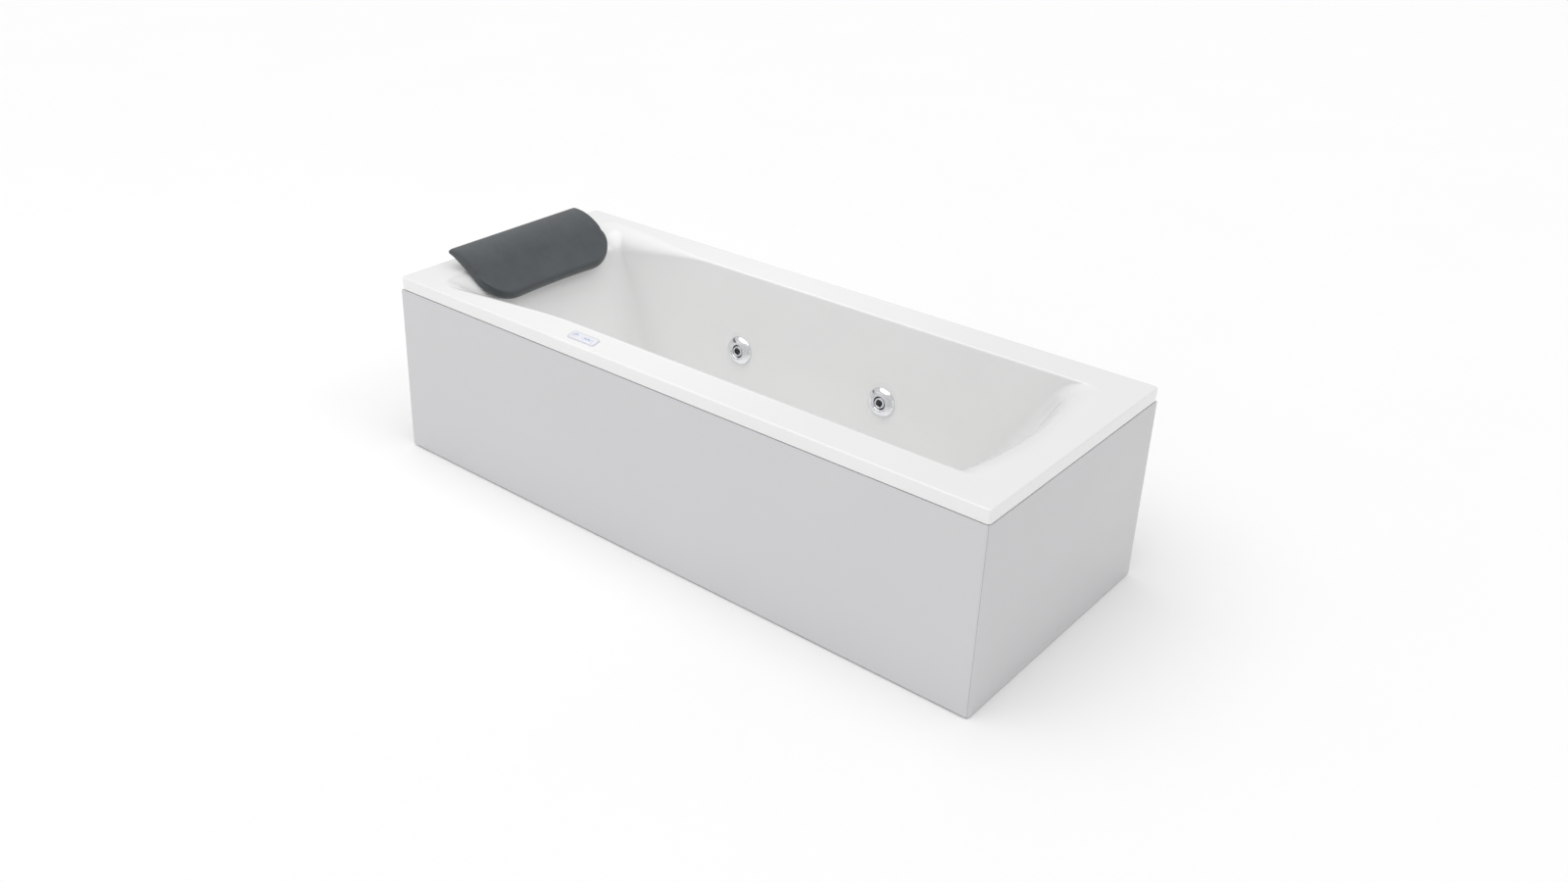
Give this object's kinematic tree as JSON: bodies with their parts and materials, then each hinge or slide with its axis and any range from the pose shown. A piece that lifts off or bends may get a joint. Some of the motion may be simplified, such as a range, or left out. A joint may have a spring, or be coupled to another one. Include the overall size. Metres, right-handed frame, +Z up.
{
  "type": "jetted bathtub",
  "caption": "Rectangular jetted bathtub with head cushion, wall jets, deck keypad, side and end panels, pump, pipework, waste and levelling frame.",
  "frame": {"origin": "on the floor under the middle of the rim", "axes": "+X from the head end to the foot end, -Y out of the long front panel, +Y to the wall side, +Z up"},
  "size_m": [1.7, 0.7, 0.5302],
  "materials": {
    "acrylic": "glossy sanitary acrylic",
    "panel": "glossy acrylic sheet",
    "cushion": "soft matte moulded polyurethane",
    "peg": "satin moulded plastic",
    "zinc": "zinc-plated steel",
    "frame_paint": "powder-coated grey",
    "board": "sealed chipboard",
    "plywood": "varnished plywood",
    "foot_plastic": "matte black moulding",
    "jet_white": "glossy moulding",
    "jet_face": "polished chrome",
    "jet_nozzle": "polished chrome",
    "pipe_white": "rigid PVC",
    "hose": "translucent flexible PVC",
    "pump_black": "glass-filled moulding",
    "impeller": "natural moulding",
    "motor_casting": "sand-blasted casting",
    "steel": "ground steel",
    "winding": "enamelled winding and laminations",
    "fan_cover": "painted pressed steel",
    "drain_chrome": "polished chrome",
    "cable": "PVC cable jacket",
    "keypad": "gloss membrane plate",
    "keypad_button": "satin button",
    "box_grey": "moulded box"
  },
  "bodies": {
    "root": {"shell": "acrylic", "front_panel": "panel", "end_panel": "panel", "panel_clips": "zinc", "panel_brackets": "zinc", "base_board": "board", "frame_rail_front": "frame_paint", "frame_rail_rear": "frame_paint", "frame_crossbars": "frame_paint", "levelling_feet": "foot_plastic", "levelling_nuts": "zinc", "pump_shelf": "plywood", "suction_body": "jet_white", "suction_grille": "jet_face", "suction_pipe": "pipe_white", "water_pipe_front": "pipe_white", "water_pipe_rear": "pipe_white", "water_tee": "pipe_white", "air_hose_front": "hose", "air_hose_rear": "hose", "air_intake": "jet_white", "pump_volute": "pump_black", "motor_housing": "motor_casting", "motor_stator": "winding", "motor_bearings": "steel", "fan_cover": "fan_cover", "pump_base": "pump_black", "drain_flange": "drain_chrome", "drain_body": "pipe_white", "waste_pipe": "pipe_white", "trap": "pipe_white", "overflow_body": "pipe_white", "overflow_pipe": "pipe_white", "drain_cable": "cable", "keypad_plate": "keypad", "control_box": "box_grey", "keypad_cable": "cable", "pump_cable": "cable", "jet_nuts": "jet_white", "jet_body_rear_head": "jet_white", "jet_body_rear_foot": "jet_white", "jet_body_front_head": "jet_white", "jet_body_front_foot": "jet_white"},
    "cushion": {"head_cushion": "cushion", "cushion_pegs": "peg"},
    "rotor": {"motor_rotor": "steel", "pump_impeller": "impeller", "motor_fan": "pump_black"},
    "overflow_control": {"overflow_knob": "drain_chrome"},
    "plug": {"drain_plug": "drain_chrome"},
    "round_button": {"keypad_button_round": "keypad_button"},
    "bar_button": {"keypad_button_bar": "keypad_button"},
    "face_rear_head": {"jet_face_rear_head": "jet_face"},
    "nozzle_rear_head": {"jet_nozzle_rear_head": "jet_nozzle"},
    "face_rear_foot": {"jet_face_rear_foot": "jet_face"},
    "nozzle_rear_foot": {"jet_nozzle_rear_foot": "jet_nozzle"},
    "face_front_head": {"jet_face_front_head": "jet_face"},
    "nozzle_front_head": {"jet_nozzle_front_head": "jet_nozzle"},
    "face_front_foot": {"jet_face_front_foot": "jet_face"},
    "nozzle_front_foot": {"jet_nozzle_front_foot": "jet_nozzle"}
  },
  "joints": [
    {"name": "cushion_lift", "type": "slide", "parent": "root", "child": "cushion", "axis": [0, 0, 1], "range_m": [0, 0.03]},
    {"name": "jet_turn_rear_head", "type": "hinge", "parent": "root", "child": "face_rear_head", "pos_m": [-0.222, 0.23798, 0.271], "axis": [0, -0.9959, 0.0906], "range_deg": [0, 90]},
    {"name": "jet_tilt_rear_head", "type": "hinge", "parent": "face_rear_head", "child": "nozzle_rear_head", "pos_m": [-0.222, 0.23499, 0.27127], "axis": [0, 0.0906, 0.9959], "range_deg": [-12, 12]},
    {"name": "jet_turn_rear_foot", "type": "hinge", "parent": "root", "child": "face_rear_foot", "pos_m": [0.222, 0.23798, 0.271], "axis": [0, -0.9959, 0.0906], "range_deg": [0, 90]},
    {"name": "jet_tilt_rear_foot", "type": "hinge", "parent": "face_rear_foot", "child": "nozzle_rear_foot", "pos_m": [0.222, 0.23499, 0.27127], "axis": [0, 0.0906, 0.9959], "range_deg": [-12, 12]},
    {"name": "jet_turn_front_head", "type": "hinge", "parent": "root", "child": "face_front_head", "pos_m": [-0.222, -0.23798, 0.271], "axis": [0, 0.9959, 0.0906], "range_deg": [0, 90]},
    {"name": "jet_tilt_front_head", "type": "hinge", "parent": "face_front_head", "child": "nozzle_front_head", "pos_m": [-0.222, -0.23499, 0.27127], "axis": [0, -0.0906, 0.9959], "range_deg": [-12, 12]},
    {"name": "jet_turn_front_foot", "type": "hinge", "parent": "root", "child": "face_front_foot", "pos_m": [0.222, -0.23798, 0.271], "axis": [0, 0.9959, 0.0906], "range_deg": [0, 90]},
    {"name": "jet_tilt_front_foot", "type": "hinge", "parent": "face_front_foot", "child": "nozzle_front_foot", "pos_m": [0.222, -0.23499, 0.27127], "axis": [0, -0.0906, 0.9959], "range_deg": [-12, 12]},
    {"name": "rotor_spin", "type": "hinge", "parent": "root", "child": "rotor", "pos_m": [-0.715, 0, 0.146], "axis": [0, 1, 0], "continuous": true},
    {"name": "overflow_turn", "type": "hinge", "parent": "root", "child": "overflow_control", "pos_m": [0.6701, 0, 0.355], "axis": [-0.866, 0, 0.5], "range_deg": [0, 90]},
    {"name": "plug_lift", "type": "slide", "parent": "root", "child": "plug", "axis": [0, 0, 1], "range_m": [0, 0.01]},
    {"name": "round_button_press", "type": "slide", "parent": "root", "child": "round_button", "axis": [0, 0, -1], "range_m": [0, 0.0008], "stiffness_N_per_m": 500, "springref_m": -0.001},
    {"name": "bar_button_press", "type": "slide", "parent": "root", "child": "bar_button", "axis": [0, 0, -1], "range_m": [0, 0.0008], "stiffness_N_per_m": 500, "springref_m": -0.001}
  ],
  "couplings": [
    {"joint": "overflow_turn", "follows": "plug_lift", "rad_per_m": 157.06}
  ]
}
